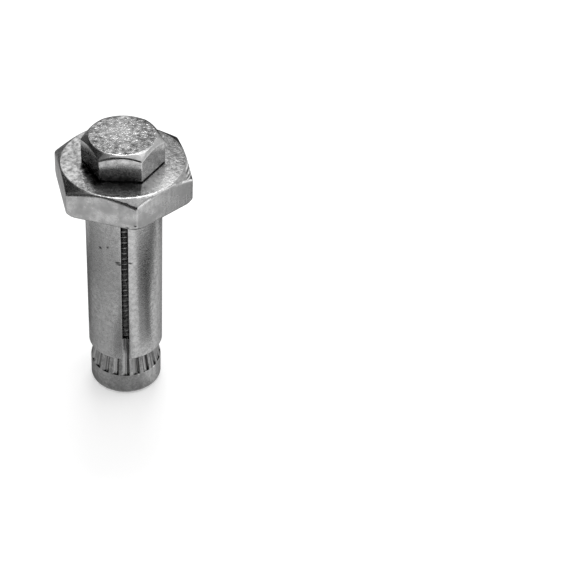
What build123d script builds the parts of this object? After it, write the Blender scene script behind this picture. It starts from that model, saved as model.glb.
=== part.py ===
from build123d import *
import math
import os

# An expansion blind bolt for hollow sections, standing on its cone nut.
# Millimetres and degrees. The axis is +Z, the origin is the centre of the cone nut's flat end,
# and angles are counted anticlockwise from +X, seen from the head.

# Thread
thread_size = 12.0
thread_pitch = 1.75
pitch_diameter_drop = 0.6495  # pitch diameter lies this share of the pitch below the crest diameter
thread_clearance = 0.04  # radial, between the bolt and the nut at the pitch diameter

# Bolt
head_across_flats = 18.0
head_height = 7.5
head_top_circle = 16.7
head_chamfer_angle = 40.0
head_turn = -4.3
neck_length = 5.0
bolt_end_recess = 0.85  # the bolt stops this far inside the nut's flat end
bolt_end_chamfer = 1.0

# Collar and sleeve
collar_across_flats = 31.4
collar_height = 8.4
collar_top_circle = 30.9
collar_top_angle = 30.0
collar_under_circle = 34.6
collar_under_angle = 50.0
collar_turn = -20.0
shank_clearance = 0.5  # radial, between the thread's crest and the bore
bore_chamfer = 0.5
sleeve_wall = 3.25
sleeve_length = 49.5  # from the collar to the open end
sleeve_end_chamfer = 0.25
slot_count = 4
slot_width = 1.8
slot_turn = -90.0
slot_to_collar = 3.0

# Cone nut
band_height = 6.65
band_step = 0.4  # the band's radius is this much under the sleeve's
band_chamfer = 0.8
cone_angle = 12.0  # from the axis to the cone's side
small_end_wall = 1.0  # over the thread's crest
mouth_clearance = 0.1  # radial, between the cone and the sleeve's tapered mouth
serrations_showing = 6.3  # the part of the cone below the sleeve
nut_countersink = 0.1  # radial, past the thread's crest

# Serrations: saw teeth, each with a narrow land, a long flank that deepens and a short steep one
tooth_count = 20
tooth_turn = 5.6
tooth_depth = 0.9  # at the band
land_share = 0.22
steep_share = 0.1

# Worked out from the sizes above
crest_radius = thread_size / 2
pitch_radius = crest_radius - pitch_diameter_drop * thread_pitch / 2
nut_bore_radius = pitch_radius + thread_clearance
bore_radius = crest_radius + shank_clearance
sleeve_radius = bore_radius + sleeve_wall
band_radius = sleeve_radius - band_step
small_end_radius = crest_radius + small_end_wall
cone_slope = math.tan(math.radians(cone_angle))
cone_length = (band_radius - small_end_radius) / cone_slope
nut_height = band_height + cone_length
sleeve_end_z = band_height + serrations_showing
mouth_radius = band_radius - serrations_showing * cone_slope + mouth_clearance
mouth_depth = (mouth_radius - bore_radius) / cone_slope
collar_under_z = sleeve_end_z + sleeve_length
collar_top_z = collar_under_z + collar_height
bolt_length = collar_top_z - bolt_end_recess
cut_over = 1.0  # how far a cutting shape reaches past what it cuts


def turned(*outline):
    """A solid of revolution about Z from (radius, height) points."""
    return revolve(Plane.XZ * Polygon(*outline, align=None), Axis.Z)


def hexagon(across_flats, turn, low, high):
    """A hexagonal prism about Z, with one corner at the angle turn."""
    face = RegularPolygon(across_flats / 2, 6, major_radius=False)
    return Pos(0, 0, low) * Rot(0, 0, turn) * extrude(face, high - low)


def corner_cone(across_flats, circle, angle):
    """Corner radius of a hexagon, and how far a cone from that circle drops before it."""
    corner = across_flats / math.sqrt(3)
    return corner, (corner - circle / 2) * math.tan(math.radians(angle))


def chamfered_hexagon(across_flats, turn, low, high, top, under=None):
    """A hexagon whose top corners, and lower corners if asked, are turned off on a lathe."""
    corner, drop = corner_cone(across_flats, *top)
    outline = [(0, high), (0, low)]
    if under:
        under_rise = corner_cone(across_flats, *under)[1]
        outline += [(under[0] / 2, low), (corner, low + under_rise)]
    else:
        outline += [(corner, low)]
    outline += [(corner, high - drop), (top[0] / 2, high)]
    return hexagon(across_flats, turn, low, high) & turned(*outline)


def hex_bolt():
    """Hexagon head, short plain neck and threaded shank, the thread plain at its pitch diameter."""
    head_top = (head_top_circle, head_chamfer_angle)
    head = chamfered_hexagon(
        head_across_flats, head_turn, collar_top_z, collar_top_z + head_height, head_top
    )
    neck_end = collar_top_z - neck_length
    runout = crest_radius - pitch_radius
    end = collar_top_z - bolt_length
    shank = turned(
        (0, collar_top_z),
        (0, end),
        (pitch_radius - bolt_end_chamfer, end),
        (pitch_radius, end + bolt_end_chamfer),
        (pitch_radius, neck_end - runout),
        (crest_radius, neck_end),
        (crest_radius, collar_top_z),
    )
    return head + shank


def slots():
    """Radial saw cuts from the open end that leave the legs joined under the collar."""
    low = sleeve_end_z - cut_over
    high = collar_under_z - slot_to_collar
    cut = Box(
        sleeve_radius + cut_over,
        slot_width,
        high - low,
        align=(Align.MIN, Align.CENTER, Align.MIN),
    )
    turns = [slot_turn + 360 * i / slot_count for i in range(slot_count)]
    return [Rot(0, 0, turn) * Pos(0, 0, low) * cut for turn in turns]


def collared_sleeve():
    """Hexagonal collar and slotted sleeve, turned from one bar, with a bore that opens to a taper."""
    collar = chamfered_hexagon(
        collar_across_flats,
        collar_turn,
        collar_under_z,
        collar_top_z,
        (collar_top_circle, collar_top_angle),
        (collar_under_circle, collar_under_angle),
    )
    # the seam of the turned face runs down the middle of a leg, clear of the slots
    tube = Rot(0, 0, slot_turn + 180 / slot_count) * turned(
        (0, sleeve_end_z),
        (sleeve_radius - sleeve_end_chamfer, sleeve_end_z),
        (sleeve_radius, sleeve_end_z + sleeve_end_chamfer),
        (sleeve_radius, collar_under_z),
        (0, collar_under_z),
    )
    bore = turned(
        (0, sleeve_end_z - cut_over),
        (mouth_radius + cut_over * cone_slope, sleeve_end_z - cut_over),
        (bore_radius, sleeve_end_z + mouth_depth),
        (bore_radius, collar_top_z - bore_chamfer),
        (bore_radius + bore_chamfer + cut_over, collar_top_z + cut_over),
        (0, collar_top_z + cut_over),
    )
    return collar + tube - bore - slots()


def groove():
    """One saw-tooth groove. Its edges all run to the cone's apex, and it stops square at the band."""
    pitch = math.radians(360 / tooth_count)
    first = math.radians(tooth_turn)
    past = band_radius + cut_over
    corners = [
        (past, land_share),
        (band_radius, land_share),
        (band_radius - tooth_depth, 1 - steep_share),
        (band_radius, 1),
        (past, 1),
    ]
    outline = [
        (r * math.cos(first + pitch * share), r * math.sin(first + pitch * share))
        for r, share in corners
    ]
    end = nut_height + cut_over
    shrink = 1 - (end - band_height) * cone_slope / band_radius
    wide = Pos(0, 0, band_height) * Polygon(*outline, align=None)
    narrow = Pos(0, 0, end) * Polygon(*[(x * shrink, y * shrink) for x, y in outline], align=None)
    return loft([wide, narrow], ruled=True)


def cone_nut():
    """Threaded cone with a plain band, bored to the pitch diameter and serrated up to the band."""
    opening = crest_radius + nut_countersink
    depth = opening - nut_bore_radius
    body = turned(
        (nut_bore_radius, depth),
        (opening, 0),
        (band_radius - band_chamfer, 0),
        (band_radius, band_chamfer),
        (band_radius, band_height),
        (small_end_radius, nut_height),
        (opening, nut_height),
        (nut_bore_radius, nut_height - depth),
    )
    cut = groove()
    return body - [Rot(0, 0, 360 * i / tooth_count) * cut for i in range(tooth_count)]


pieces = {
    "hex_bolt": hex_bolt(),
    "collared_sleeve": collared_sleeve(),
    "cone_nut": cone_nut(),
}

os.makedirs("parts", exist_ok=True)
for name, shape in pieces.items():
    solids = shape.solids()
    solid = solids[0] if len(solids) == 1 else Compound(solids)
    export_step(solid, f"parts/{name}.step")
    print(name, len(solids), "solid,", round(shape.volume), "cubic mm")
print("bolt length", round(bolt_length, 2), "overall height", round(collar_top_z + head_height, 2))
print("cone length", round(cone_length, 2), "mouth radius", round(mouth_radius, 2))
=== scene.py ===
# %% [markdown]
# # An expansion blind bolt
#
# This scene dresses one blind bolt for hollow sections. It has three pieces: a hexagon bolt, a slotted
# sleeve with a hexagonal collar, and a serrated cone nut. The CAD model gives the sizes and the motion.
# Blender gives the thread, the small rounded edges and the zinc plating that a camera sees.
#
# The lesson goes from the frame and a few helpers to the thread and the finish, then to the three pieces, the
# light and the camera.

import math

import bmesh
import bpy
from mathutils import Matrix, Vector


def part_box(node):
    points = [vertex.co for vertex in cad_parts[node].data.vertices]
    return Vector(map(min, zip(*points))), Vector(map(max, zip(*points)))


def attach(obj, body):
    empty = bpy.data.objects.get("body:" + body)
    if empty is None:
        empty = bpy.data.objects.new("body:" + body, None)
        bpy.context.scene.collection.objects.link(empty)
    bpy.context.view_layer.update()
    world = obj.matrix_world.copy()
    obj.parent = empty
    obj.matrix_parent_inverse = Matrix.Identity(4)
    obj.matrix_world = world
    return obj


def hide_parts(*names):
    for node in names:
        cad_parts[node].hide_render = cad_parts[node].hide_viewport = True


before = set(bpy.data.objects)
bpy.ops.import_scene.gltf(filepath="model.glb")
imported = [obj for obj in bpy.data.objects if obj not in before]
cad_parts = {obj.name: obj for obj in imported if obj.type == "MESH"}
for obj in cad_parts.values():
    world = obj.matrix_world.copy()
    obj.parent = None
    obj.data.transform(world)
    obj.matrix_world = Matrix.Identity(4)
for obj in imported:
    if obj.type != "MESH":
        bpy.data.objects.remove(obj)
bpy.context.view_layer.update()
MM = 0.001

# %% [markdown]
# ## Sizes
#
# Blender works in metres and a fastener is drawn in millimetres, so sizes are kept in millimetres and are
# scaled only where Blender takes them. Heights along the axis come from the CAD nodes, because the pieces
# have to stay where the frame holds them. Radii and widths are the drawing's own.

# %% Heights from the frame, radii from the drawing
nut_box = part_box("cone_nut")
sleeve_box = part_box("collared_sleeve")
bolt_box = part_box("hex_bolt")
nut_top = nut_box[1].z / MM
sleeve_end = sleeve_box[0].z / MM
collar_top = sleeve_box[1].z / MM
bolt_end = bolt_box[0].z / MM
head_top = bolt_box[1].z / MM

thread_pitch = 1.75
thread_radius = 6.0
thread_root = 4.93
thread_clearance = 0.05

head_across_flats = 18.0
head_turn = -4.3
head_top_circle = 16.7
head_chamfer = 36.0
neck_length = 5.0

collar_across_flats = 31.4
collar_height = 8.4
collar_turn = -20.0
collar_top_circle = 30.9
collar_top_chamfer = 29.0
collar_under_circle = 34.6
collar_under_chamfer = 50.0

bore_radius = 6.5
bore_chamfer = 0.5
sleeve_radius = 9.75
sleeve_end_chamfer = 0.25
slot_count = 4
slot_width = 1.8
slot_turn = -90.0
slot_to_collar = 3.0
mouth_radius = 8.11
cone_angle = 12.0
cone_slope = math.tan(math.radians(cone_angle))

band_radius = 9.35
band_height = 6.65
band_chamfer = 0.8
small_end_radius = 7.0
tooth_count = 20
tooth_turn = 5.6
tooth_depth = 0.9
land_share = 0.22
steep_share = 0.1

collar_under = collar_top - collar_height
slot_top = collar_under - slot_to_collar
print(f"from foot to head {head_top:.2f} mm, sleeve from {sleeve_end:.2f} to {collar_top:.2f} mm")

# %% [markdown]
# ## Rounded edges
#
# A cold-formed or turned steel edge is never quite sharp, and the thin line of light along it is what makes
# metal look real. A Bevel modifier could cut these edges, but where a cone runs out into a flat the faces
# become very thin and the modifier stops. So each piece is drawn as sections round the axis, and each corner
# of a section is rounded before the skin is made. The number of points stays the same in every section.


# %% Helpers for sections
corner_share = 0.45  # a rounded corner takes at most this share of the side next to it


def rounded(points, radii, steps=3):
    """The section with its corners turned into short curves."""
    result = []
    for i, (point, radius) in enumerate(zip(points, radii)):
        corner = Vector(point)
        if not radius:
            result.append(corner)
            continue
        before = Vector(points[i - 1]) - corner
        after = Vector(points[i + 1]) - corner
        start = corner + before.normalized() * min(radius, corner_share * before.length)
        end = corner + after.normalized() * min(radius, corner_share * after.length)
        for step in range(steps + 1):
            t = step / steps
            result.append(start * (1 - t) ** 2 + corner * 2 * t * (1 - t) + end * t**2)
    return result


def turned_point(radius, angle, height):
    """A point from its radius, its angle in degrees and its height."""
    turn = math.radians(angle)
    return Vector((radius * math.cos(turn), radius * math.sin(turn), height))


def hexagon_radius(angle, across_flats, turn, corner_radius):
    """How far a hexagon with rounded corners reaches along a ray at that angle."""
    from_corner = abs((angle - turn + 30) % 60 - 30)
    corner_cosine = math.cos(math.radians(30))
    centre = (across_flats / 2 - corner_radius) / corner_cosine
    flat_end = math.degrees(math.atan2(corner_radius / 2, centre + corner_radius * corner_cosine))
    if from_corner >= flat_end:
        return across_flats / 2 / math.cos(math.radians(30 - from_corner))
    off = centre * math.sin(math.radians(from_corner))
    return centre * math.cos(math.radians(from_corner)) + math.sqrt(corner_radius**2 - off**2)


def section_angles(special, widest):
    """The special angles, with even steps no wider than asked between them."""
    ordered = sorted({round(angle % 360, 4) for angle in special})
    result = []
    for a, b in zip(ordered, ordered[1:] + [ordered[0] + 360]):
        count = max(1, math.ceil((b - a) / widest))
        result += [a + (b - a) * i / count for i in range(count)]
    return result


def corner_angles(turn, spread):
    """Five angles across each corner of a hexagon."""
    return [turn + 60 * k + spread * share for k in range(6) for share in (-1, -0.5, 0, 0.5, 1)]


print("a rounded corner has", len(rounded([(0, 0), (1, 0), (1, 1)], [0, 0.2, 0])) - 2, "points")

# %% [markdown]
# ## From sections to a mesh
#
# The skin joins each section to the next with quads and closes the ring. Points that fall together, as at
# the pole of the head, are merged. The meshes are finished in one place: the normals are made to point
# outwards, and the shading is smooth apart from real creases. A smooth normal is a mean of the faces round a
# point, so a rounding would shade the flat beside it. The Weighted Normal modifier gives the larger face more
# say, and the flat looks flat.


# %% Helpers for meshes
weld = 0.0005 * MM  # points nearer than this become one
height_slack = 0.01  # how near to its height a ring's point lies, in millimetres
radius_slack = 0.02  # and how near to its radius
crease_angle = 32.0  # an edge sharper than this stays sharp, in degrees


def skin(bm, sections, closed=True):
    """Adds quads between the sections, which all have the same number of points, in millimetres."""
    rows = [[bm.verts.new(point * MM) for point in section] for section in sections]
    pairs = list(zip(rows, rows[1:]))
    if closed:
        pairs.append((rows[-1], rows[0]))
    for a, b in pairs:
        for i in range(len(a) - 1):
            bm.faces.new((a[i], b[i], b[i + 1], a[i + 1]))


def ring_edges(bm, height, radius):
    """The open edges of the ring at that height and radius, in millimetres."""
    found = []
    for edge in bm.edges:
        level = all(abs(v.co.z / MM - height) < height_slack for v in edge.verts)
        round_axis = all(abs(v.co.xy.length / MM - radius) < radius_slack for v in edge.verts)
        if level and round_axis and edge.is_boundary:
            found.append(edge)
    return found


def finished(bm, name):
    """Cleans the mesh, sets its normals and shading, and returns its object."""
    bmesh.ops.remove_doubles(bm, verts=bm.verts, dist=weld)
    bmesh.ops.dissolve_degenerate(bm, edges=bm.edges, dist=weld)
    bmesh.ops.recalc_face_normals(bm, faces=bm.faces)
    open_edges = sum(1 for edge in bm.edges if not edge.is_manifold)
    mesh = bpy.data.meshes.new(name)
    bm.to_mesh(mesh)
    bm.free()
    mesh.shade_smooth()
    mesh.set_sharp_from_angle(angle=math.radians(crease_angle))
    piece = bpy.data.objects.new(name, mesh)
    bpy.context.scene.collection.objects.link(piece)
    flats = piece.modifiers.new("flats", "WEIGHTED_NORMAL")
    flats.keep_sharp = True
    flats.weight = 100
    evaluated = piece.evaluated_get(bpy.context.evaluated_depsgraph_get())
    final = bpy.data.meshes.new_from_object(evaluated)
    piece.modifiers.remove(flats)
    piece.data = final
    final.name = name
    print(f"{name}: {len(final.polygons)} faces, {open_edges} open edges")
    return piece


print(f"points nearer than {weld / MM:.4f} mm are merged, edges over {crease_angle:.0f} degrees stay sharp")

# %% [markdown]
# ## Building node trees in a script
#
# Geometry Nodes and materials are both node trees. One small function adds a node to either: it sets the
# node's own settings, and it gives each socket a value or a link. The trees then read from top to bottom.


# %% One helper for all nodes
def add(tree, kind, inputs=None, **settings):
    """Adds one node. inputs gives a socket, by name or number, its value or the output that feeds it."""
    node = tree.nodes.new(kind)
    for key, value in settings.items():
        setattr(node, key, value)
    for key, value in (inputs or {}).items():
        if isinstance(value, bpy.types.NodeSocket):
            tree.links.new(value, node.inputs[key])
        else:
            node.inputs[key].default_value = value
    return node


def geometry_tree(name, sockets):
    """A Geometry Nodes tree with named inputs. sockets gives each input's name and kind of socket."""
    tree = bpy.data.node_groups.new(name, "GeometryNodeTree")
    tree.interface.new_socket("Geometry", in_out="INPUT", socket_type="NodeSocketGeometry")
    for socket, kind in sockets.items():
        tree.interface.new_socket(socket, in_out="INPUT", socket_type=kind)
    tree.interface.new_socket("Geometry", in_out="OUTPUT", socket_type="NodeSocketGeometry")
    return tree, tree.nodes.new("NodeGroupInput").outputs


def mesh_from_tree(tree, values, start=None):
    """Runs the tree on a mesh, or on none, and returns the result as a plain mesh."""
    holder = bpy.data.objects.new(tree.name, start or bpy.data.meshes.new(tree.name))
    bpy.context.scene.collection.objects.link(holder)
    modifier = holder.modifiers.new(tree.name, "NODES")
    modifier.node_group = tree
    for item in tree.interface.items_tree:
        if item.in_out == "INPUT" and item.name in values:
            modifier[item.identifier] = values[item.name]
    evaluated = holder.evaluated_get(bpy.context.evaluated_depsgraph_get())
    mesh = bpy.data.meshes.new_from_object(evaluated)
    holder.modifiers.remove(modifier)
    bpy.data.objects.remove(holder)
    return mesh


# %% [markdown]
# ## The screw thread
#
# A rolled metric thread is one groove that winds along the shank: 60 degrees between its flanks, with a
# narrow crest and a rounded root. It could be a profile swept along a helix, but the sweep tilts the profile
# and the turns don't quite meet. Here a flat grid is wrapped instead. One direction of the grid runs along
# the helix and the other across one ridge, from groove to groove, so the edges of neighbouring turns fall
# together and merge. The root is too narrow to be seen round, so it is drawn flat.
#
# The same tree makes the thread in the nut, a little larger. Heights count from the same plane in both, so
# the two threads mesh. At the ends the grid is squeezed onto a plane, and the radius follows a cone there:
# a chamfer on the bolt's end, a run-out under its neck, and a countersink at each end of the nut.

# %% The thread tree
crest_edge = 0.4375  # the flank meets the crest this far from the middle of the groove, in pitches
flank_rise = math.sqrt(3)  # how steeply a flank climbs when the two stand 60 degrees apart
tree_weld = 0.001 * MM  # the trees merge points nearer than this


def thread_tree():
    """Wraps a grid into a thread with conical ends."""
    names = ["Pitch", "Crest radius", "Root radius", "Low", "High", "Start"]
    names += ["Low chamfer radius", "Low flare radius", "High flare radius", "Turns"]
    sockets = {name: "NodeSocketFloat" for name in names}
    sockets |= {"Segments": "NodeSocketInt", "Rows": "NodeSocketInt", "Material": "NodeSocketMaterial"}
    tree, given = geometry_tree("thread", sockets)
    columns = add(
        tree,
        "ShaderNodeMath",
        {0: given["Turns"], 1: given["Segments"], 2: 1},
        operation="MULTIPLY_ADD",
    )
    rows = add(tree, "ShaderNodeMath", {0: given["Rows"], 1: 1}, operation="ADD")
    counts = {"Vertices X": columns.outputs[0], "Vertices Y": rows.outputs[0]}
    grid = add(tree, "GeometryNodeMeshGrid", counts)
    place = add(tree, "GeometryNodeInputPosition")
    split = add(tree, "ShaderNodeSeparateXYZ", {0: place.outputs[0]})
    along = add(tree, "ShaderNodeMath", {0: split.outputs["X"], 1: 0.5}, operation="ADD")
    turn = add(tree, "ShaderNodeMath", {0: along.outputs[0], 1: given["Turns"]}, operation="MULTIPLY")
    share = add(tree, "ShaderNodeMath", {0: split.outputs["Y"], 1: 0.5}, operation="ADD")
    # height along the axis, held between the two ends
    pitches = add(tree, "ShaderNodeMath", {0: turn.outputs[0], 1: share.outputs[0]}, operation="ADD")
    height = add(
        tree,
        "ShaderNodeMath",
        {0: pitches.outputs[0], 1: given["Pitch"], 2: given["Start"]},
        operation="MULTIPLY_ADD",
    )
    above = add(tree, "ShaderNodeMath", {0: height.outputs[0], 1: given["Low"]}, operation="MAXIMUM")
    held = add(tree, "ShaderNodeMath", {0: above.outputs[0], 1: given["High"]}, operation="MINIMUM")
    # the flank's radius, from the distance to the middle of the ridge
    off = add(tree, "ShaderNodeMath", {0: split.outputs["Y"]}, operation="ABSOLUTE")
    fold = add(tree, "ShaderNodeMath", {0: 0.5 - crest_edge, 1: off.outputs[0]}, operation="SUBTRACT")
    rise = add(tree, "ShaderNodeMath", {0: given["Pitch"], 1: flank_rise}, operation="MULTIPLY")
    flank = add(
        tree,
        "ShaderNodeMath",
        {0: fold.outputs[0], 1: rise.outputs[0], 2: given["Crest radius"]},
        operation="MULTIPLY_ADD",
    )
    deep = add(tree, "ShaderNodeMath", {0: flank.outputs[0], 1: given["Root radius"]}, operation="MAXIMUM")
    ridge = add(tree, "ShaderNodeMath", {0: deep.outputs[0], 1: given["Crest radius"]}, operation="MINIMUM")
    # the cones at the two ends, all at 45 degrees
    from_low = add(tree, "ShaderNodeMath", {0: held.outputs[0], 1: given["Low"]}, operation="SUBTRACT")
    from_high = add(tree, "ShaderNodeMath", {0: given["High"], 1: held.outputs[0]}, operation="SUBTRACT")
    chamfer = add(
        tree, "ShaderNodeMath", {0: given["Low chamfer radius"], 1: from_low.outputs[0]}, operation="ADD"
    )
    low_flare = add(
        tree, "ShaderNodeMath", {0: given["Low flare radius"], 1: from_low.outputs[0]}, operation="SUBTRACT"
    )
    high_flare = add(
        tree, "ShaderNodeMath", {0: given["High flare radius"], 1: from_high.outputs[0]}, operation="SUBTRACT"
    )
    trimmed = add(tree, "ShaderNodeMath", {0: ridge.outputs[0], 1: chamfer.outputs[0]}, operation="MINIMUM")
    low_end = add(
        tree, "ShaderNodeMath", {0: trimmed.outputs[0], 1: low_flare.outputs[0]}, operation="MAXIMUM"
    )
    radius = add(
        tree, "ShaderNodeMath", {0: low_end.outputs[0], 1: high_flare.outputs[0]}, operation="MAXIMUM"
    )
    # wrap round the axis
    angle = add(tree, "ShaderNodeMath", {0: turn.outputs[0], 1: 2 * math.pi}, operation="MULTIPLY")
    cosine = add(tree, "ShaderNodeMath", {0: angle.outputs[0]}, operation="COSINE")
    sine = add(tree, "ShaderNodeMath", {0: angle.outputs[0]}, operation="SINE")
    x = add(tree, "ShaderNodeMath", {0: cosine.outputs[0], 1: radius.outputs[0]}, operation="MULTIPLY")
    y = add(tree, "ShaderNodeMath", {0: sine.outputs[0], 1: radius.outputs[0]}, operation="MULTIPLY")
    wrapped = add(tree, "ShaderNodeCombineXYZ", {"X": x.outputs[0], "Y": y.outputs[0], "Z": held.outputs[0]})
    places = {"Geometry": grid.outputs[0], "Position": wrapped.outputs[0]}
    placed = add(tree, "GeometryNodeSetPosition", places)
    merged = add(tree, "GeometryNodeMergeByDistance", {"Geometry": placed.outputs[0], "Distance": tree_weld})
    real = add(tree, "GeometryNodeRealizeInstances", {"Geometry": merged.outputs[0]})
    painted = add(
        tree, "GeometryNodeSetMaterial", {"Geometry": real.outputs[0], "Material": given["Material"]}
    )
    add(tree, "NodeGroupOutput", {"Geometry": painted.outputs[0]})
    return tree


threads = thread_tree()
print("thread tree:", len(threads.nodes), "nodes")


# %% A thread between two heights
def thread_mesh(name, low, high, clearance, root, ends, material):
    """The thread from low to high, in millimetres. ends gives the radius at which the low end's chamfer
    starts, and the radius that each end flares out to."""
    start = (math.floor(low / thread_pitch) - 1) * thread_pitch
    chamfer, low_flare, high_flare = ends
    values = {
        "Pitch": thread_pitch * MM,
        "Crest radius": (thread_radius + clearance) * MM,
        "Root radius": root * MM,
        "Low": low * MM,
        "High": high * MM,
        "Start": start * MM,
        "Low chamfer radius": chamfer * MM,
        "Low flare radius": low_flare * MM,
        "High flare radius": high_flare * MM,
        "Turns": float(math.ceil((high - start) / thread_pitch)),
        "Segments": 48,
        "Rows": 16,
        "Material": material,
    }
    mesh = mesh_from_tree(threads, values)
    print(f"{name}: {values['Turns']:.0f} turns, {len(mesh.polygons)} faces")
    return mesh


# %% [markdown]
# ## The finish
#
# All three pieces are carbon steel with bright zinc plating. The coat is about a hundredth of a millimetre
# thick, so it shows how each surface was made: pressed, turned, drawn, rolled or cut. Zinc is a metal, so its
# colour is its reflection. The base colour is a neutral grey, the material is fully metallic, and the rest is
# a question of roughness and of relief. One function makes the plating, and each surface of a piece gets it
# with its own relief, given in millimetres as on a drawing.
#
# The grain has a lay. It is the same noise each time, read from other coordinates: the place itself for a
# grain that runs all ways, the distance from the axis and the height for rings left by a lathe, the place
# squeezed along the axis for drawn metal, and the direction from the axis alone for the grooves of a cone.
#
# Wear, painted shade and painted reflections come last, as marks. A mark fades with the distance from its
# middle, and noise is added to the distance, so its outline is ragged and not a circle.


# %% Zinc plating
ring_wander = 0.12  # along its rings a turned grain changes too, at this share of the speed across them
draw_stretch = 0.04  # along the axis a drawn grain changes at this share of the speed across it
patch_ends = (0.36, 0.64)  # the noise's values that are fully dull and fully bright
outline_grain = 0.9  # the size in millimetres of the noise that makes a mark's outline ragged
outline_wander = 1.6  # how far it can move the outline, as a share of the mark's reach
mark_ends = (1.8, 1.1)  # distance and noise together: where a mark starts to show and where it is full
roughness_spread = 0.05  # a dull patch is this much rougher and a bright one this much smoother
glancing_tint = "#A0A0A0"  # zinc reflects a little less than white at a glancing angle


def linear(hex_colour):
    """A linear colour from sRGB hex, as colour pickers give it."""
    parts = [int(hex_colour[i : i + 2], 16) / 255 for i in (1, 3, 5)]
    return [c / 12.92 if c <= 0.04045 else ((c + 0.055) / 1.055) ** 2.4 for c in parts] + [1.0]


def grain_lays(tree, place):
    """The coordinates that each lay of the grain is read from."""
    flat = add(tree, "ShaderNodeVectorMath", {0: place, 1: (1, 1, 0)}, operation="MULTIPLY")
    distance = add(tree, "ShaderNodeVectorMath", {0: flat.outputs[0]}, operation="LENGTH")
    split = add(tree, "ShaderNodeSeparateXYZ", {0: place})
    rings = add(tree, "ShaderNodeCombineXYZ", {"X": distance.outputs["Value"], "Z": split.outputs["Z"]})
    slow = add(tree, "ShaderNodeVectorMath", {0: place, 1: (ring_wander,) * 3}, operation="MULTIPLY")
    lathe = add(tree, "ShaderNodeVectorMath", {0: rings.outputs[0], 1: slow.outputs[0]}, operation="ADD")
    along = add(tree, "ShaderNodeVectorMath", {0: place, 1: (1, 1, draw_stretch)}, operation="MULTIPLY")
    outward = add(tree, "ShaderNodeVectorMath", {0: flat.outputs[0]}, operation="NORMALIZE")
    # unrolled at the band's radius, so that a size in millimetres is true at the foot of the cone
    unrolled = {0: outward.outputs[0], "Scale": band_radius * MM}
    fluted = add(tree, "ShaderNodeVectorMath", unrolled, operation="SCALE")
    return {
        "all": place,
        "round": lathe.outputs[0],
        "along": along.outputs[0],
        "fluted": fluted.outputs[0],
    }


def with_marks(tree, place, colour, marks):
    """The colour with marks on it, one over the other."""
    uneven = {"Vector": place, "Scale": 1 / (outline_grain * MM), "Detail": 3.0}
    noise = add(tree, "ShaderNodeTexNoise", uneven)
    for spot, across, up, hue, strength in marks:
        offset = add(tree, "ShaderNodeVectorMath", {0: place, 1: Vector(spot) * MM}, operation="SUBTRACT")
        reach = Vector((across, across, up)) * MM
        scaled = add(tree, "ShaderNodeVectorMath", {0: offset.outputs[0], 1: reach}, operation="DIVIDE")
        away = add(tree, "ShaderNodeVectorMath", {0: scaled.outputs[0]}, operation="LENGTH")
        moved = {0: noise.outputs["Fac"], 1: outline_wander, 2: away.outputs["Value"]}
        ragged = add(tree, "ShaderNodeMath", moved, operation="MULTIPLY_ADD")
        fade = {"Value": ragged.outputs[0], "From Min": mark_ends[0], "From Max": mark_ends[1]}
        depth = add(tree, "ShaderNodeMapRange", {**fade, "To Max": strength})
        layers = {0: depth.outputs["Result"], 6: colour, 7: linear(hue)}
        colour = add(tree, "ShaderNodeMix", layers, data_type="RGBA").outputs[2]
    return colour


def with_relief(tree, lays, reliefs):
    """One relief laid on another with Bump nodes, as the normal that the shader takes."""
    normal = None
    for lay, size, height in reliefs:
        grain = {"Vector": lays[lay], "Scale": 1 / (size * MM), "Detail": 2.0, "Roughness": 0.6}
        noise = add(tree, "ShaderNodeTexNoise", grain)
        bump = {"Height": noise.outputs["Fac"], "Distance": height * MM}
        if normal:
            bump["Normal"] = normal
        normal = add(tree, "ShaderNodeBump", bump).outputs["Normal"]
    return normal


def zinc_plated(name, bright, dull, patch, roughness, reliefs, marks=(), streaks="all"):
    """Satin zinc. Dull and bright patches mix at the size patch, in millimetres. Each relief is its kind of
    lay, its grain size and its height: "all" ways alike, "round" the axis, "along" it, or "fluted", which
    follows the grooves of a cone to its apex. The patches have a lay too, streaks. Each mark is its place,
    how far it reaches sideways and up, its colour and how strongly it shows."""
    material = bpy.data.materials.new(name)
    material.use_nodes = True
    tree = material.node_tree
    tree.nodes.clear()
    place = add(tree, "ShaderNodeTexCoord").outputs["Object"]
    lays = grain_lays(tree, place)
    patches = {"Vector": lays[streaks], "Scale": 1 / (patch * MM), "Detail": 5.0, "Roughness": 0.65}
    cloud = add(tree, "ShaderNodeTexNoise", patches)
    ends = {"Value": cloud.outputs["Fac"], "From Min": patch_ends[0], "From Max": patch_ends[1]}
    share = add(tree, "ShaderNodeMapRange", ends).outputs["Result"]
    tones = {0: share, 6: linear(dull), 7: linear(bright)}
    colour = add(tree, "ShaderNodeMix", tones, data_type="RGBA").outputs[2]
    if marks:
        colour = with_marks(tree, place, colour, marks)
    rough, smooth = roughness + roughness_spread, roughness - roughness_spread
    satin = add(tree, "ShaderNodeMapRange", {"Value": share, "To Min": rough, "To Max": smooth})
    plating = {
        "Base Color": colour,
        "Metallic": 1.0,
        "Roughness": satin.outputs["Result"],
        "Specular Tint": linear(glancing_tint),
        "Normal": with_relief(tree, lays, reliefs),
    }
    surface = add(tree, "ShaderNodeBsdfPrincipled", plating)
    add(tree, "ShaderNodeOutputMaterial", {"Surface": surface.outputs[0]})
    return material


def dress(piece, whole, *parts):
    """Gives a piece its finish. Each part is a finish and the test of a face's centre and normal for it."""
    piece.data.materials.clear()
    piece.data.materials.append(whole)
    for finish, _ in parts:
        piece.data.materials.append(finish)
    for face in piece.data.polygons:
        face.material_index = 0
        for i, (_, holds) in enumerate(parts):
            if holds(face.center / MM, face.normal):
                face.material_index = i + 1
    indices = [face.material_index for face in piece.data.polygons]
    print(piece.name, "faces by finish:", [indices.count(i) for i in range(len(parts) + 1)])


print("a mid grey in linear light:", round(linear("#808080")[0], 3))
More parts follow.
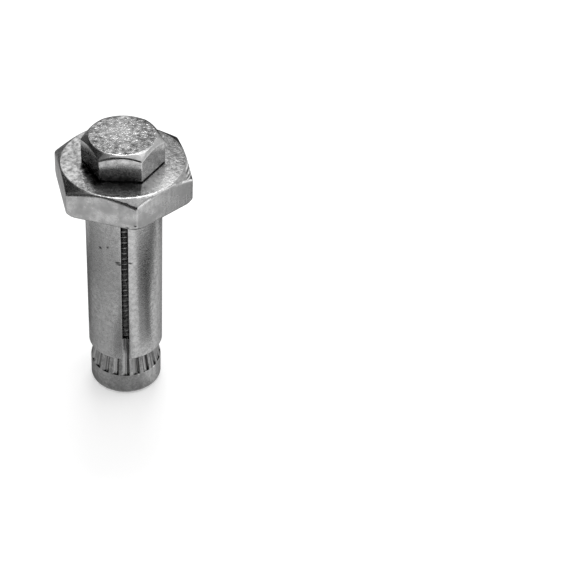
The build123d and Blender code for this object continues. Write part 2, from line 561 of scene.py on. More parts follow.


# %% [markdown]
# ### Forged and rolled
#
# The bolt is cold formed. The dies leave smooth faces with shallow waves, and the punch leaves the top
# grainy, rubbed bright in the middle. The thread is rolled. It is the darkest surface, painted dark as shade
# for the slot it lies in, and its crests are painted lighter, a painted highlight. A painted shade darkens
# the joint between head and collar, and a painted dark reflection darkens the foot of the head's front flat.

# %% The finishes of the bolt
worn_crown = [((-0.5, 1.5, head_top), 6.0, 6.0, "#FFFFFF", 0.25)]
# a dark mark at the foot of the head's front flat, a painted dark reflection
foot_of_flat = turned_point(head_across_flats / 2, head_turn - 90, collar_top + 0.6)
painted_foot_reflection = [(foot_of_flat, 6.0, 1.75, "#484848", 0.8)]
waves = [("all", 2.0, 0.05)]
forged = zinc_plated("zinc_on_forged_steel", "#CCCCCC", "#B0B0B0", 1.2, 0.24, waves, painted_foot_reflection)
punch_grain = [("all", 1.3, 0.16), ("all", 0.42, 0.09)]
punched = zinc_plated("zinc_on_punched_steel", "#C4C4C4", "#585858", 1.2, 0.25, punch_grain, worn_crown)
# the thread is painted dark, a painted shade for the slot it lies in, and its crests lighter, a painted
# highlight
rolled = zinc_plated("painted_shade_on_rolled_thread", "#989898", "#707070", 0.8, 0.3, [("all", 0.4, 0.02)])
crest = zinc_plated("painted_highlight_on_thread_crests", "#A8A8A8", "#686868", 1.2, 0.26, [("round", 0.3, 0.01)])
# the rounding at the head's foot is painted dark, a painted shade in the joint between head and collar
joint_painted_shade = zinc_plated("painted_shade_in_head_joint", "#383838", "#181818", 0.6, 0.35, [("all", 0.3, 0.02)])
print("bolt finishes:", [finish.name for finish in (forged, punched, rolled, crest, joint_painted_shade)])

# %% [markdown]
# ### Drawn, turned and pressed
#
# The sleeve is one piece with its collar, and each surface has its own grain: fine and drawn out on the tube,
# rolled on the collar's flats, turned on its cones, and pressed on the face that carries the bolt's head.
# Handling leaves short dark nicks. Where the spanner goes on, the face is scuffed bright, the corner has
# scraped lines across it, and the edge beside it has a thin burr with a dent, painted bright as a highlight.
# Beside the head's left front flat, a painted reflection and shadow of the head darkens the face.

# %% The finishes of the sleeve
tube_grain = [("all", 0.28, 0.016), ("round", 0.4, 0.012), ("all", 1.8, 0.014), ("along", 1.1, 0.014)]
# three nicks beside the front slot, and two higher up on the left
handling_nicks = [
    ((-1.5, -9.63, 45.95), 1.1, 0.36, "#404040", 1.0),
    ((-1.3, -9.66, 45.3), 0.9, 0.32, "#404040", 1.0),
    ((1.2, -9.68, 45.75), 0.9, 0.4, "#404040", 1.0),
    ((-6.0, -7.7, 49.4), 0.6, 0.45, "#484848", 1.0),
    ((-4.3, -8.8, 50.3), 0.5, 0.4, "#484848", 1.0),
]
drawn = zinc_plated("zinc_on_drawn_tube", "#BABABA", "#A0A0A0", 0.9, 0.26, tube_grain, handling_nicks)

# a bright scuff, and a row of dark spots along the head's left front flat that are a painted reflection and
# shadow of the head
scuff_and_painted_head_reflection = [((10.0, -10.0, collar_top), 7.5, 7.5, "#FFFFFF", 0.8)]
for i in range(4):
    scuff_and_painted_head_reflection.append(((-9.3 + 1.05 * i, -2.6 - 2.05 * i, collar_top), 2.1, 2.1, "#101010", 0.95))
face_grain = [("all", 1.2, 0.06), ("all", 0.42, 0.04)]
pressed = zinc_plated("zinc_on_pressed_face", "#F0F0F0", "#848484", 1.1, 0.2, face_grain, scuff_and_painted_head_reflection)

# bright and dark scraped lines, and a dark spot where the corner was knocked
corner_marks = [
    (turned_point(15.9, -8, 70.6), 2.4, 0.12, "#FFFFFF", 0.8),
    (turned_point(16.6, -15, 70.2), 2.4, 0.12, "#FFFFFF", 0.8),
    (turned_point(17.2, -21, 69.88), 2.0, 0.12, "#FFFFFF", 0.8),
    (turned_point(16.2, -13, 70.42), 2.2, 0.1, "#404040", 0.8),
    (turned_point(16.9, -20, 70.04), 2.0, 0.1, "#404040", 0.8),
    (turned_point(17.9, -20, 69.4), 1.3, 0.8, "#181818", 1.0),
]
lathe_grain = [("round", 0.3, 0.05), ("all", 1.2, 0.03)]
turned = zinc_plated("zinc_on_turned_steel", "#B8B8B8", "#949494", 1.5, 0.26, lathe_grain, corner_marks)

dents = [(turned_point(16.6, -33, 69.9), 0.7, 0.7, "#303030", 1.0)]
# the burr along the edge is painted white, a painted highlight, with a dent in it
burr_with_painted_highlight = zinc_plated("painted_highlight_on_burred_edge", "#FFFFFF", "#C4C4C4", 0.7, 0.2, [("all", 0.4, 0.03)], dents)

bar_grain = [("along", 0.6, 0.02), ("all", 0.4, 0.02)]
spanner_nicks = [
    ((0.8, -17.0, 63.0), 0.7, 0.3, "#484848", 1.0),
    ((2.7, -17.7, 64.0), 0.5, 0.3, "#484848", 1.0),
]
rolled_flat = zinc_plated("zinc_on_rolled_bar", "#BCBCBC", "#A6A6A6", 3.0, 0.28, bar_grain, spanner_nicks)
print("sleeve finishes:", [finish.name for finish in (drawn, pressed, turned, burr_with_painted_highlight, rolled_flat)])

# %% [markdown]
# ### Cut
#
# The nut is turned, then its grooves are cut one by one. The grooves are painted darker, a painted shade,
# and their patches run up the groove. The corner where a groove ends at the band is painted darker still, a
# painted shade. Three grooves end in a bright burr where the cutter left the band.

# %% The finishes of the nut
burrs = [(turned_point(9.25, azimuth, 6.8), 0.55, 0.5, "#FFFFFF", 1.0) for azimuth in (-70, -55, -38)]
band_grain = [("all", 0.35, 0.06), ("round", 0.4, 0.02)]
banded = zinc_plated("zinc_on_nut_band", "#B0B0B0", "#949494", 1.0, 0.3, band_grain, burrs)
land_grain = [("fluted", 0.5, 0.05), ("all", 0.4, 0.03)]
cut_land = zinc_plated("zinc_on_cut_cone", "#A4A4A4", "#808080", 0.8, 0.3, land_grain)
# the grooves are painted darker, a painted shade
flute_grain = [("fluted", 0.4, 0.1), ("all", 0.4, 0.04)]
painted_groove_shade = zinc_plated("painted_shade_in_grooves", "#B8B8B8", "#686868", 0.7, 0.3, flute_grain, burrs, "fluted")
# the square end of each groove is painted darkest, a painted shade in the corner
pocket = zinc_plated("painted_shade_in_groove_ends", "#484848", "#282828", 0.6, 0.35, [("all", 0.3, 0.02)], burrs)
print("nut finishes:", [finish.name for finish in (banded, cut_land, painted_groove_shade, pocket)])

# %% [markdown]
# ## The hexagon bolt
#
# The head is cold formed: a flat disc on top, a cone that turns off the six corners, six flats, and a plain
# underside that sits on the collar. A section at each angle follows the hexagon, so the cone and the flats
# meet in the curved line that every bolt head has. Below the head comes a short plain neck, then the thread
# from the tree above. The rings of head and thread have different numbers of points, and a bridge joins them.

# %% Bolt
head_corner = 0.45  # the rounding of the hexagon's corners, seen from above
crown_rings = (0.5, 0.96)  # two rings of points inside the top disc, as shares of its radius
crown_rounding = 0.4
chamfer_rounding = 0.5
foot_rounding = 0.4
neck_chamfer = 0.3
neck_seam = 0.6  # the strip of neck that joins the head's rings to the thread's
corner_spread = 1.3  # degrees to each side of a corner, for the points of its rounding
head_step = 5.0  # at most this many degrees between two sections
end_drop = 0.1  # the bolt's end is this much smaller than the thread's root, in radius
no_flare = 0.0
lit_crest_radius = 5.8  # outside this radius the thread is painted lighter, a painted highlight on the crests
same_height = 0.01  # slack in the tests of a height
seat_slack = 0.1  # a face counts as on the collar's top when it is no lower than this


def bolt_section(angle):
    """The head's section at that angle, from the pole of the top face down to the neck."""
    reach = hexagon_radius(angle, head_across_flats, head_turn, head_corner)
    circle = head_top_circle / 2
    drop = (reach - circle) * math.tan(math.radians(head_chamfer))
    outline = [
        (0, head_top),
        (circle * crown_rings[0], head_top),
        (circle * crown_rings[1], head_top),
        (circle, head_top),
        (reach, head_top - drop),
        (reach, collar_top),
        (thread_radius + neck_chamfer, collar_top),
        (thread_radius, collar_top - neck_chamfer),
        (thread_radius, collar_top - neck_length + neck_seam),
    ]
    radii = [0, 0, 0, crown_rounding, chamfer_rounding, foot_rounding, 0, 0, 0]
    return [turned_point(r, angle, z) for r, z in rounded(outline, radii)]


def hex_bolt():
    """The bolt with its real thread."""
    bm = bmesh.new()
    angles = section_angles(corner_angles(head_turn, corner_spread), head_step)
    skin(bm, [bolt_section(angle) for angle in angles])
    neck_end = collar_top - neck_length
    end_radius = thread_root - end_drop
    ends = (end_radius, no_flare, thread_radius)
    bm.from_mesh(thread_mesh("bolt thread", bolt_end, neck_end, 0, thread_root, ends, rolled))
    bmesh.ops.remove_doubles(bm, verts=bm.verts, dist=weld)
    seam = ring_edges(bm, neck_end + neck_seam, thread_radius) + ring_edges(bm, neck_end, thread_radius)
    bmesh.ops.bridge_loops(bm, edges=seam)
    end = bmesh.ops.edgeloop_fill(bm, edges=ring_edges(bm, bolt_end, end_radius))
    bmesh.ops.poke(bm, faces=end["faces"])
    return finished(bm, "hex_bolt_body")


def on_thread(centre, normal):
    """Whether a face lies below the neck."""
    return centre.z < collar_top - neck_length


def in_head_joint(centre, normal):
    """Whether a face belongs to the rounding at the head's foot."""
    return collar_top - seat_slack < centre.z < collar_top + foot_rounding


bolt = hex_bolt()
dress(
    bolt,
    forged,
    (punched, lambda centre, normal: centre.z > head_top - same_height),
    (joint_painted_shade, in_head_joint),
    (rolled, on_thread),
    (crest, lambda centre, normal: on_thread(centre, normal) and centre.xy.length > lit_crest_radius),
)
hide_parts("hex_bolt")
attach(bolt, "bolt")

# %% [markdown]
# ## The collared sleeve
#
# The sleeve and its collar are turned from one bar. Four saw cuts from the open end leave four legs, which
# the cone spreads behind the wall of a hollow section. The cuts have parallel sides, so their edges lie at
# another angle on the bore than on the outside. A boolean would cut them, but it leaves long thin triangles
# that show in a satin surface. Here every column of points is placed on purpose: each one has an outer and
# an inner angle, and the columns beside a cut follow its flat sides. Only the edges of the cuts are rounded
# with a bevel, because there it has room.

# %% Columns of the sleeve
half_slot = slot_width / 2
quarter = 360 / slot_count
angle_slack = 0.001  # degrees


def edge_angle(radius):
    """The angle between a slot's middle and its edge, at that radius."""
    return math.degrees(math.asin(half_slot / radius))


def column_angle(angle, radius):
    """Where a column that stands at angle on the sleeve's outside lies at another radius."""
    slot = round((angle - slot_turn) / quarter)
    off = angle - slot_turn - slot * quarter
    outer, inner = edge_angle(sleeve_radius), edge_angle(radius)
    if abs(off) <= outer:
        moved = off * inner / outer
    else:
        share = (abs(off) - outer) / (quarter / 2 - outer)
        moved = math.copysign(inner + share * (quarter / 2 - inner), off)
    return slot_turn + slot * quarter + moved


def in_slot(angle):
    """Whether that angle on the outside lies in a saw cut, its edges included."""
    off = (angle - slot_turn + quarter / 2) % quarter - quarter / 2
    return abs(off) <= edge_angle(sleeve_radius) + angle_slack


slot_edges = [
    slot_turn + quarter * k + side * edge_angle(sleeve_radius) for k in range(slot_count) for side in (-1, 1)
]
collar_spread = 0.8  # degrees to each side of a corner, for the points of its rounding
under_spread = 30 - math.degrees(math.acos(collar_across_flats / collar_under_circle))  # for the lower cone
column_step = 3.0  # at most this many degrees between two columns
collar_corners = corner_angles(collar_turn, collar_spread) + corner_angles(collar_turn, under_spread)
sleeve_angles = section_angles(slot_edges + collar_corners, column_step)
leg_heights = [slot_top, 50.0, 42.0, 34.0, 26.0]
print(len(sleeve_angles), "columns,", len(leg_heights), "rows in the legs")


# %% Sleeve
collar_corner = 0.6  # the rounding of the hexagon's corners, seen from above
face_rings = (0.75, 0.97)  # two rings of points in the collar's face, as shares of its radius
under_least = 0.2  # the lower chamfer is at least this wide, also on the flats
seat_strip = 0.6  # the sections end this far below the collar
cut_rounding = 0.12
cut_sharpness = 50.0  # an edge of a saw cut or of a leg's end is sharper than this, in degrees


def collar_section(angle):
    """The section above the slots, from the bore's top round the collar to the sleeve."""
    reach = hexagon_radius(angle, collar_across_flats, collar_turn, collar_corner)
    circle = collar_top_circle / 2
    under = min(collar_under_circle / 2, reach - under_least)
    drop = (reach - circle) * math.tan(math.radians(collar_top_chamfer))
    rise = (reach - under) * math.tan(math.radians(collar_under_chamfer))
    outline = [
        (bore_radius, collar_top - bore_chamfer),
        (bore_radius + bore_chamfer, collar_top),
        (circle * face_rings[0], collar_top),
        (circle * face_rings[1], collar_top),
        (circle, collar_top),
        (reach, collar_top - drop),
        (reach, collar_under + rise),
        (under, collar_under),
        (sleeve_radius, collar_under),
        (sleeve_radius, collar_under - seat_strip),
    ]
    # the rounding of each of these corners
    radii = [0, 0, 0, 0, 0.5, 0.8, 0.25, 0.25, 0.15, 0]
    return rounded(outline, radii)


def sleeve_column(angle):
    """The outer points of one column from the top down, and the inner points of its legs."""
    outer = [turned_point(r, angle, z) for r, z in collar_section(angle)]
    inner = []
    taper = sleeve_end + (mouth_radius - bore_radius) / cone_slope
    for z in leg_heights + [taper, sleeve_end + sleeve_end_chamfer, sleeve_end]:
        outside = sleeve_radius - (sleeve_end_chamfer if z == sleeve_end else 0)
        inside = bore_radius + max(0, taper - z) * cone_slope
        outer.append(turned_point(outside, column_angle(angle, outside), z))
        inner.append(turned_point(inside, column_angle(angle, inside), z))
    return outer, inner


def sleeve_columns(bm):
    """Every column's angle, its outer and inner points in the mesh, and where its legs begin."""
    columns = []
    for angle in sleeve_angles:
        outer, inner = sleeve_column(angle)
        outer_row = [bm.verts.new(point * MM) for point in outer]
        # the inner row starts from the same point at the bore's top
        inner_row = [outer_row[0]] + [bm.verts.new(point * MM) for point in inner]
        columns.append((angle, outer_row, inner_row, len(outer) - len(inner)))
    return columns


def join_columns(bm, columns):
    """Faces between neighbouring columns, outside and inside, and along the sides of the saw cuts."""
    for k, (angle, outer, inner, first) in enumerate(columns):
        next_angle, next_outer, next_inner, _ = columns[(k + 1) % len(columns)]
        in_cut = in_slot(angle) and in_slot(next_angle)
        for i in range(first if in_cut else len(outer) - 1):
            bm.faces.new((outer[i], outer[i + 1], next_outer[i + 1], next_outer[i]))
        for i in range(1 if in_cut else len(inner) - 1):
            bm.faces.new((inner[i + 1], inner[i], next_inner[i], next_inner[i + 1]))
        # the face that closes the wall: the top of a cut, or the end of a leg
        o, i = (first, 1) if in_cut else (-1, -1)
        bm.faces.new((outer[o], inner[i], next_inner[i], next_outer[o]))
        if in_slot(angle) and in_slot(next_angle) != in_slot(columns[k - 1][0]):
            for i in range(1, len(inner) - 1):
                o = first + i - 1
                bm.faces.new((outer[o], outer[o + 1], inner[i + 1], inner[i]))


def round_cuts(bm):
    """Rounds the sharp edges of the saw cuts and of the legs' ends."""
    sharp = []
    for edge in bm.edges:
        low = max(v.co.z for v in edge.verts) <= (slot_top + same_height) * MM
        if low and edge.is_manifold and edge.calc_face_angle() > math.radians(cut_sharpness):
            sharp.append(edge)
    size = cut_rounding * MM
    bmesh.ops.bevel(bm, geom=sharp, offset=size, segments=2, profile=0.5, affect="EDGES", clamp_overlap=True)
    print(len(sharp), "edges of the saw cuts and legs rounded")


def collared_sleeve():
    """The collar and the slotted sleeve as one closed skin."""
    bm = bmesh.new()
    join_columns(bm, sleeve_columns(bm))
    bmesh.ops.recalc_face_normals(bm, faces=bm.faces)
    round_cuts(bm)
    return finished(bm, "collared_sleeve_body")


# %% The sleeve's faces and their finishes
upright_normal = 0.2  # a face whose normal rises less than this is a flat of the hexagon
level_normal = 0.995  # and one whose normal rises more is the collar's face or its underside
burr_normals = (0.35, 0.68)  # the middle of the rounding between a flat and the cone above it
burr_reach = 3.0  # it lies this near to the collar's top, in millimetres


def on_hexagon(centre, normal):
    """Whether a face is one of the collar's flats."""
    return centre.z > collar_under and abs(normal.z) < upright_normal


def on_chamfer(centre, normal):
    """Whether a face is on the collar's turned cones or their roundings."""
    return centre.z > collar_under and upright_normal <= abs(normal.z) < level_normal


def on_spanner_edge(centre, normal):
    """Whether a face is the middle of the rounding above the collar's right front face."""
    azimuth = math.degrees(math.atan2(centre.y, centre.x))
    beside = collar_turn - 60 < azimuth < collar_turn
    return beside and centre.z > collar_top - burr_reach and burr_normals[0] < normal.z < burr_normals[1]


sleeve = collared_sleeve()
dress(
    sleeve,
    drawn,
    (rolled_flat, on_hexagon),
    (turned, on_chamfer),
    (pressed, lambda centre, normal: centre.z > collar_top - seat_slack and normal.z > level_normal),
    (burr_with_painted_highlight, on_spanner_edge),
)
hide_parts("collared_sleeve")
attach(sleeve, "sleeve")

# %% [markdown]
# ## The serrated cone nut
#
# Twenty saw teeth run up the cone and bite into the sleeve's legs, so that the nut doesn't turn with the
# bolt. Each has a land, a long flank that deepens, and a short steep flank, and each groove stops square at
# the band. The long flank has a shallow furrow and a low ridge. One tooth is drawn as a sector of 18
# degrees, and a Geometry Nodes tree sets twenty of them round the axis and merges their sides. That is how
# the real one is cut too: one groove, then indexed.


# %% One tooth
# corners along the long flank, as shares of the tooth's width and of its depth
land_roll = 0.12  # the land rolls over into the flank within this share
land_end = (land_share + land_roll, -0.1)
furrow = (0.58, -0.6)
ridge = (0.74, -0.38)
end_face_ring = thread_radius + 0.2  # the tooth's section starts and ends here, on the nut's end faces


def tooth_outline():
    """Points across one tooth as (angle in degrees, share of the full depth)."""
    step = 360 / tooth_count
    arc = 2 * math.pi * band_radius / tooth_count
    middle = land_share / 2
    corners = [(middle, 0), land_end, furrow, ridge, (1 - steep_share, -1), (1, 0), (1 + middle, 0)]
    outline = [(share * arc, depth * tooth_depth) for share, depth in corners]
    # the rounding of each of these corners
    radii = [0, 0.3, 0.15, 0.08, 0.15, 0.08, 0]
    return [(tooth_turn + x / arc * step, -y / tooth_depth) for x, y in rounded(outline, radii)]


def tooth_section(angle, depth):
    """The nut's section there, from the lower end face round the band and up the cone to the small end."""
    groove = tooth_depth * depth
    shrink = small_end_radius / band_radius
    outline = [
        (end_face_ring, 0),
        (band_radius - band_chamfer, 0),
        (band_radius, band_chamfer),
        (band_radius, band_height),
        (band_radius - groove, band_height),
        (small_end_radius - groove * shrink, nut_top),
        (end_face_ring, nut_top),
    ]
    # the rounding of each of these corners
    radii = [0, 0.2, 0.2, 0.12, 0.08, 0.08, 0]
    return [turned_point(r, angle, z) for r, z in rounded(outline, radii)]


print(len(tooth_outline()), "points across a tooth")


# %% The tree that repeats it
def ring_tree():
    """Copies a sector round the axis and merges the copies into one ring."""
    sockets = {"Count": "NodeSocketInt", "Merge distance": "NodeSocketFloat"}
    sockets |= {"Material": "NodeSocketMaterial"}
    tree, given = geometry_tree("ring of teeth", sockets)
    points = add(tree, "GeometryNodePoints", {"Count": given["Count"]})
    index = add(tree, "GeometryNodeInputIndex")
    step = add(tree, "ShaderNodeMath", {0: 2 * math.pi, 1: given["Count"]}, operation="DIVIDE")
    angle = add(tree, "ShaderNodeMath", {0: index.outputs[0], 1: step.outputs[0]}, operation="MULTIPLY")
    turn = add(tree, "ShaderNodeCombineXYZ", {"Z": angle.outputs[0]})
    places = {"Points": points.outputs[0], "Instance": given["Geometry"], "Rotation": turn.outputs[0]}
    copies = add(tree, "GeometryNodeInstanceOnPoints", places)
    real = add(tree, "GeometryNodeRealizeInstances", {"Geometry": copies.outputs[0]})
    joints = {"Geometry": real.outputs[0], "Distance": given["Merge distance"]}
    merged = add(tree, "GeometryNodeMergeByDistance", joints)
    painted = add(
        tree, "GeometryNodeSetMaterial", {"Geometry": merged.outputs[0], "Material": given["Material"]}
    )
    add(tree, "NodeGroupOutput", {"Geometry": painted.outputs[0]})
    return tree


# %% Nut
bore_opening = thread_radius + 0.1  # the countersink's radius at each end face
root_shortfall = 0.12  # a nut's thread isn't cut as deep as a bolt's
no_chamfer = 100.0  # a radius that the thread never reaches
groove_slack = 0.15  # a groove's faces start this far below the band's edge
bore_margin = 0.3  # faces nearer than this to the thread's crest belong to the bore
groove_share = 0.2  # a face deeper than this share of a tooth is in a groove
pocket_normal = 0.6  # and one whose normal rises more than this is the groove's square end


def cone_nut():
    """The ring of teeth with the threaded bore inside it."""
    bm = bmesh.new()
    skin(bm, [tooth_section(angle, depth) for angle, depth in tooth_outline()], closed=False)
    sector = bpy.data.meshes.new("tooth")
    bm.to_mesh(sector)
    bm.free()
    values = {"Count": tooth_count, "Merge distance": tree_weld, "Material": banded}
    ring = mesh_from_tree(ring_tree(), values, sector)
    bm = bmesh.new()
    bm.from_mesh(ring)
    minor = thread_root + root_shortfall + thread_clearance
    ends = (no_chamfer, bore_opening, bore_opening)
    bm.from_mesh(thread_mesh("nut thread", 0, nut_top, thread_clearance, minor, ends, banded))
    bmesh.ops.remove_doubles(bm, verts=bm.verts, dist=weld)
    # each end face is closed with flat triangles between the countersink and the teeth
    for height in (0, nut_top):
        seam = ring_edges(bm, height, bore_opening) + ring_edges(bm, height, end_face_ring)
        bmesh.ops.triangle_fill(bm, use_beauty=True, edges=seam, normal=(0, 0, 1))
    return finished(bm, "cone_nut_body")


def in_groove(centre, normal):
    """Whether a face lies below the lands, in a groove."""
    lands = band_radius - (centre.z - band_height) * cone_slope
    deep = lands * (1 - groove_share * tooth_depth / band_radius)
    return centre.z > band_height - groove_slack and thread_radius + bore_margin < centre.xy.length < deep


nut = cone_nut()
dress(
    nut,
    banded,
    (cut_land, lambda centre, normal: centre.z > band_height),
    (painted_groove_shade, in_groove),
    (pocket, lambda centre, normal: in_groove(centre, normal) and normal.z > pocket_normal),
)
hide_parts("cone_nut")
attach(nut, "nut")

# %% [markdown]
# ## Floor and light
#
# Metal shows its surroundings, so the studio matters as much as the finish. The world is white. At a strength
# of 1 a colour renders about as it is written, but the palest metal clips, so the strength is a little less.
# Two small soft lamps add the highlights. The floor is plain white paper. Light Path tells a shader what kind
# of ray has hit it, and a little glow is added only for the camera, for reflections and for what is seen
# through glass, so the paper looks white and still keeps the object's shadow.

# %% Floor
floor_half = 12.0  # metres
floor_glow = 0.22  # the strength of what is added to the paper where it is seen
floor_mesh = bpy.data.meshes.new("floor")
corners = [(-1, -1), (1, -1), (1, 1), (-1, 1)]
floor_mesh.from_pydata([(x * floor_half, y * floor_half, 0) for x, y in corners], [], [(0, 1, 2, 3)])
floor = bpy.data.objects.new("floor", floor_mesh)
bpy.context.scene.collection.objects.link(floor)
paper = bpy.data.materials.new("white_paper")
paper.use_nodes = True
paper_tree = paper.node_tree
paper_tree.nodes.clear()
white = add(paper_tree, "ShaderNodeBsdfDiffuse", {"Color": linear("#F4F4F4")})
rays = add(paper_tree, "ShaderNodeLightPath").outputs
either = {0: rays["Is Camera Ray"], 1: rays["Is Glossy Ray"]}
direct = add(paper_tree, "ShaderNodeMath", either, operation="MAXIMUM")
any_of = {0: direct.outputs[0], 1: rays["Is Transmission Ray"]}
seen = add(paper_tree, "ShaderNodeMath", any_of, operation="MAXIMUM")
lift = add(paper_tree, "ShaderNodeMath", {0: seen.outputs[0], 1: floor_glow}, operation="MULTIPLY")
glow = add(paper_tree, "ShaderNodeEmission", {"Strength": lift.outputs[0]})
both = add(paper_tree, "ShaderNodeAddShader", {0: white.outputs[0], 1: glow.outputs[0]})
add(paper_tree, "ShaderNodeOutputMaterial", {"Surface": both.outputs[0]})
floor_mesh.materials.append(paper)
print(f"floor: {2 * floor_half:.0f} m of white paper")

# %% Light
world_strength = 0.85
world = bpy.data.worlds.new("white studio")
world.use_nodes = True
world.node_tree.nodes.clear()
white_sky = {"Color": linear("#FFFFFF"), "Strength": world_strength}
sky = add(world.node_tree, "ShaderNodeBackground", white_sky)
add(world.node_tree, "ShaderNodeOutputWorld", {"Surface": sky.outputs[0]})
bpy.context.scene.world = world


def softbox(name, size, power, azimuth, elevation, distance):
    """A square lamp that looks at the object from that direction, in metres, watts and degrees."""
    light = bpy.data.lights.new(name, "AREA")
    light.size = size
    light.energy = power
    lamp = bpy.data.objects.new(name, light)
    rise = math.radians(elevation)
    lamp.location = turned_point(distance * math.cos(rise), azimuth, distance * math.sin(rise))
    lamp.rotation_mode = "QUATERNION"
    lamp.rotation_quaternion = (-lamp.location).to_track_quat("-Z", "Y")
    bpy.context.scene.collection.objects.link(lamp)


softbox("key", 0.25, 1.6, 84, 66, 0.9)
softbox("side", 0.3, 0.5, 14, 64, 0.9)

# %% [markdown]
# ## Cards
#
# A metal in an all-white room looks like chalk. A photographer hangs dark cloth where the metal should turn
# dark, just out of the picture. These cards do the same. They are hidden from the camera, from diffuse light
# and from shadows, so they show in reflections only, and the floor and its shadow stay as the world lights
# them. The grey sheets on the floor near the object are a painted shadow: the metal reflects them as shade
# on the floor round the object.
#
# Which card does what follows from the mirror. Seen from above, the level faces mirror the far side of the
# room, and an upright wall mirrors the floor in front of it: the higher on the wall, the farther out.


# %% Making a card
card_height = 1.0  # a floor card lies this far above the floor, in millimetres


def card(name, sections, grey):
    """A sheet of paper or cloth through sections of points in millimetres, seen in reflections only."""
    bm = bmesh.new()
    skin(bm, sections, closed=False)
    mesh = bpy.data.meshes.new(name)
    bm.to_mesh(mesh)
    bm.free()
    sheet = bpy.data.objects.new(name, mesh)
    bpy.context.scene.collection.objects.link(sheet)
    cloth = bpy.data.materials.new(name)
    cloth.use_nodes = True
    cloth.node_tree.nodes.clear()
    tint = add(cloth.node_tree, "ShaderNodeBsdfDiffuse", {"Color": linear(grey)})
    add(cloth.node_tree, "ShaderNodeOutputMaterial", {"Surface": tint.outputs[0]})
    mesh.materials.append(cloth)
    sheet.visible_camera = False
    sheet.visible_diffuse = False
    sheet.visible_shadow = False


def evenly(ends, steps):
    """Values in even steps from one end to the other."""
    return [ends[0] + (ends[1] - ends[0]) * i / steps for i in range(steps + 1)]


def curtain(name, azimuths, elevations, radius, grey):
    """Part of a dome round the object, between two azimuths and two elevations in degrees."""
    sections = []
    for azimuth in evenly(azimuths, 12):
        rises = [math.radians(elevation) for elevation in evenly(elevations, 12)]
        sections.append([turned_point(radius * math.cos(r), azimuth, radius * math.sin(r)) for r in rises])
    card(name, sections, grey)


def floor_card(name, azimuths, radii, grey):
    """A grey sector on the floor, seen in reflections only, between two azimuths in degrees and two radii in
    millimetres.
    """
    sections = []
    for azimuth in evenly(azimuths, 24):
        sections.append([turned_point(radius, azimuth, card_height) for radius in radii])
    card(name, sections, grey)


def flag(name, left, right, grey):
    """A small flat card between two edges, each given by its two ends in millimetres."""
    card(name, [[Vector(point) for point in edge] for edge in (left, right)], grey)


# %% Cards round the room
curtain("grey_right", (6, 24), (38, 52), 1150, "#909090")
curtain("grey_back_left", (100, 122), (0, 24), 1150, "#A8A8A8")
curtain("mid_back_left", (112, 150), (0, 62), 1200, "#606060")
curtain("grey_left", (126, 147), (34, 52), 1150, "#A8A8A8")
curtain("dark_back_left", (150, 186), (0, 62), 1200, "#303030")
curtain("dark_left", (186, 212), (0, 76), 1200, "#848484")
curtain("dark_left_low", (212, 232), (0, 58), 1200, "#6C6C6C")
curtain("dark_left_front", (232, 250), (0, 52), 1200, "#606060")
curtain("dark_front", (248, 312), (0, 51), 1150, "#141414")
curtain("low_back", (58, 100), (0, 14), 1200, "#303030")

# %% Cards on the floor
# behind and far out
floor_card("far_left_floor", (100, 136), (150, 1200), "#D0D0D0")
floor_card("far_left_floor_dark", (136, 150), (150, 1200), "#505050")
floor_card("far_floor", (150, 262), (135, 1200), "#505050")
floor_card("back_floor", (58, 100), (130, 1200), "#383838")
floor_card("near_back_floor", (26, 108), (74, 130), "#383838")
# close to the foot and in front, a painted shadow on the floor for the band, the teeth and the sleeve's front
floor_card("foot_left", (130, 235), (9.4, 22), "#E8E8E8")
floor_card("foot_front", (235, 300), (9.4, 20), "#D0D0D0")
floor_card("foot_right", (300, 318), (9.4, 20), "#F0F0F0")
floor_card("front_spot", (238, 282), (23, 38), "#A0A0A0")
floor_card("front_floor", (250, 264), (38, 76), "#BABABA")
# a painted shadow on the floor that the sleeve reflects as a dark streak down its right, and its soft sides
floor_card("streak_core", (328, 350), (46, 79), "#242424")
floor_card("streak_core_near", (326, 344), (27, 46), "#808080")
floor_card("streak_side", (304, 328), (48, 70), "#585858")
floor_card("streak_side_top", (308, 328), (70, 80), "#808080")
floor_card("streak_side_near", (306, 326), (27, 48), "#B0B0B0")
floor_card("streak_edge", (350, 362), (52, 66), "#686868")
floor_card("streak_edge_top", (350, 372), (66, 80), "#686868")
# the collar's right flats, with a painted shadow on the floor farther right
floor_card("right_face_floor", (326, 346), (82, 94), "#F8F8F8")
floor_card("right_face_floor_far", (346, 378), (80, 90), "#9C9C9C")
floor_card("right_floor", (346, 375), (90, 160), "#8C8C8C")
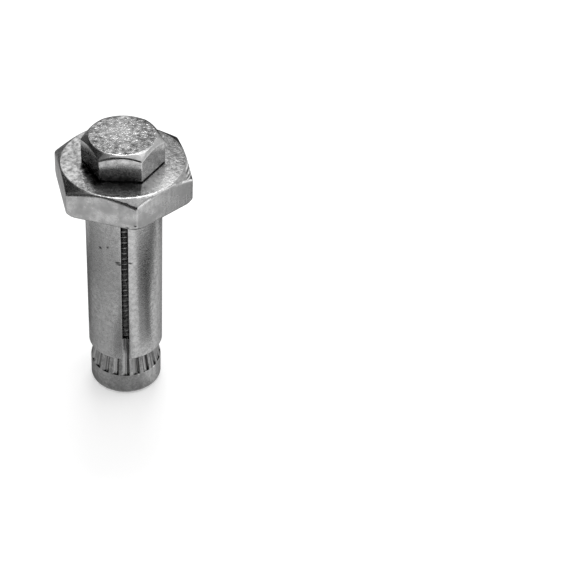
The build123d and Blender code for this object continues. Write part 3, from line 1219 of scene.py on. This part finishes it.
# a painted shadow on the floor for the left of the sleeve
floor_card("left_edge_floor", (88, 116), (24, 70), "#6C6C6C")
floor_card("left_back_floor", (118, 150), (24, 62), "#ACACAC")
floor_card("left_floor", (150, 208), (48, 64), "#B0B0B0")
floor_card("left_floor_far", (150, 208), (64, 84), "#A8A8A8")
floor_card("left_front_floor", (208, 250), (48, 64), "#BEBEBE")
floor_card("left_front_floor_far", (208, 250), (64, 84), "#B4B4B4")
floor_card("left_near_floor", (150, 238), (22, 48), "#DADADA")

# %% Two small flags over the bolt
flag("right_flag", [(10, 63, 117.5), (10, 74, 104)], [(36, 63, 117.5), (36, 74, 104)], "#606060")
left_edges = [(-36.5, 3.3, 89.9), (-26.6, -4.6, 105.4)], [(-24.1, 18.9, 89.9), (-14.2, 11, 105.4)]
flag("left_flag", *left_edges, "#2C2C2C")

# %% [markdown]
# ## Camera
#
# The camera's height, distance and lens were fitted to the corners, the circles and the outline of the bolt
# in the photograph. It is first aimed at a point on the axis, level with the horizon. Then it is swung aside,
# tilted and rolled by small angles, which puts the bolt at the left of the picture without shifting the lens.

# %% Camera
lens = 108.8
distance = 442.9
elevation = 39.332
target = Vector((0, 0, 41.23))
aside, tilt, roll = 5.287, 1.087, 0.763
view = bpy.data.cameras.new("camera")
view.lens = lens
view.sensor_width = 36
view.clip_start = 0.01
view.clip_end = 20
camera = bpy.data.objects.new("camera", view)
bpy.context.scene.collection.objects.link(camera)
rise = math.radians(elevation)
back = Vector((0, -math.cos(rise), math.sin(rise)))
level = Matrix(((1, 0, 0), (0, math.sin(rise), math.cos(rise)), tuple(back)))
swing = Matrix.Rotation(math.radians(aside), 3, "Y")
nod = Matrix.Rotation(math.radians(tilt), 3, "X")
lean = Matrix.Rotation(math.radians(roll), 3, "Z")
camera.rotation_mode = "QUATERNION"
camera.rotation_quaternion = (lean @ nod @ swing @ level).transposed().to_quaternion()
camera.location = (target + back * distance) * MM
bpy.context.scene.camera = camera
bpy.context.scene.view_settings.view_transform = "Standard"
print("camera at", [round(c, 3) for c in camera.location])
